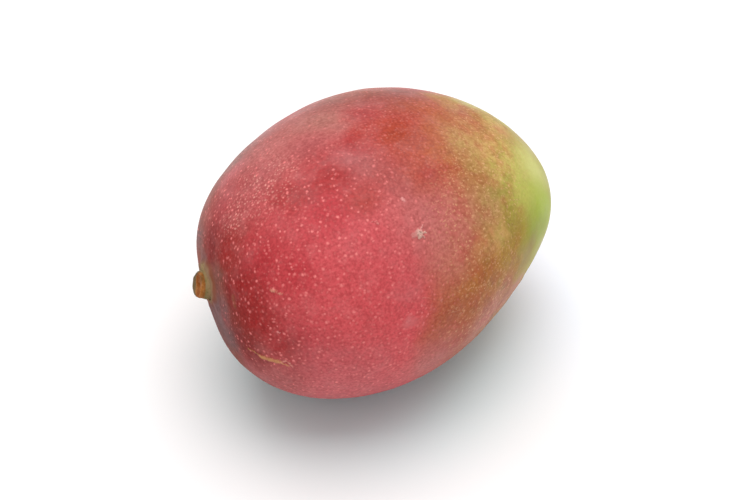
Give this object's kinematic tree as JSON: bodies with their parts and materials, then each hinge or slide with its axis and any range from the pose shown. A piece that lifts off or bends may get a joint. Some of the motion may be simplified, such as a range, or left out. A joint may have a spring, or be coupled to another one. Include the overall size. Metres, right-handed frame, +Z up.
{
  "type": "mango",
  "caption": "Ripe mango lying on its cheek, an egg-shaped fruit with a slanting apex and the cut stub of its stem. It rests on a small flat spot.",
  "frame": {"origin": "centre of the flat spot that the fruit rests on", "axes": "+X along the fruit from the stem end to the apex, +Z up from the resting cheek to the upper cheek, +Y from the near flank to the far one"},
  "size_m": [0.1212, 0.0968, 0.0875],
  "materials": {
    "mango_skin": "satin waxy fruit skin, crimson with pale dots, a thin grey bloom and a yellow-green apex",
    "dry_stem": "dry olive-brown bark with a raw orange-brown cut face"
  },
  "bodies": {
    "root": {"mango_fruit": "mango_skin", "stem_stub": "dry_stem"}
  },
  "joints": []
}
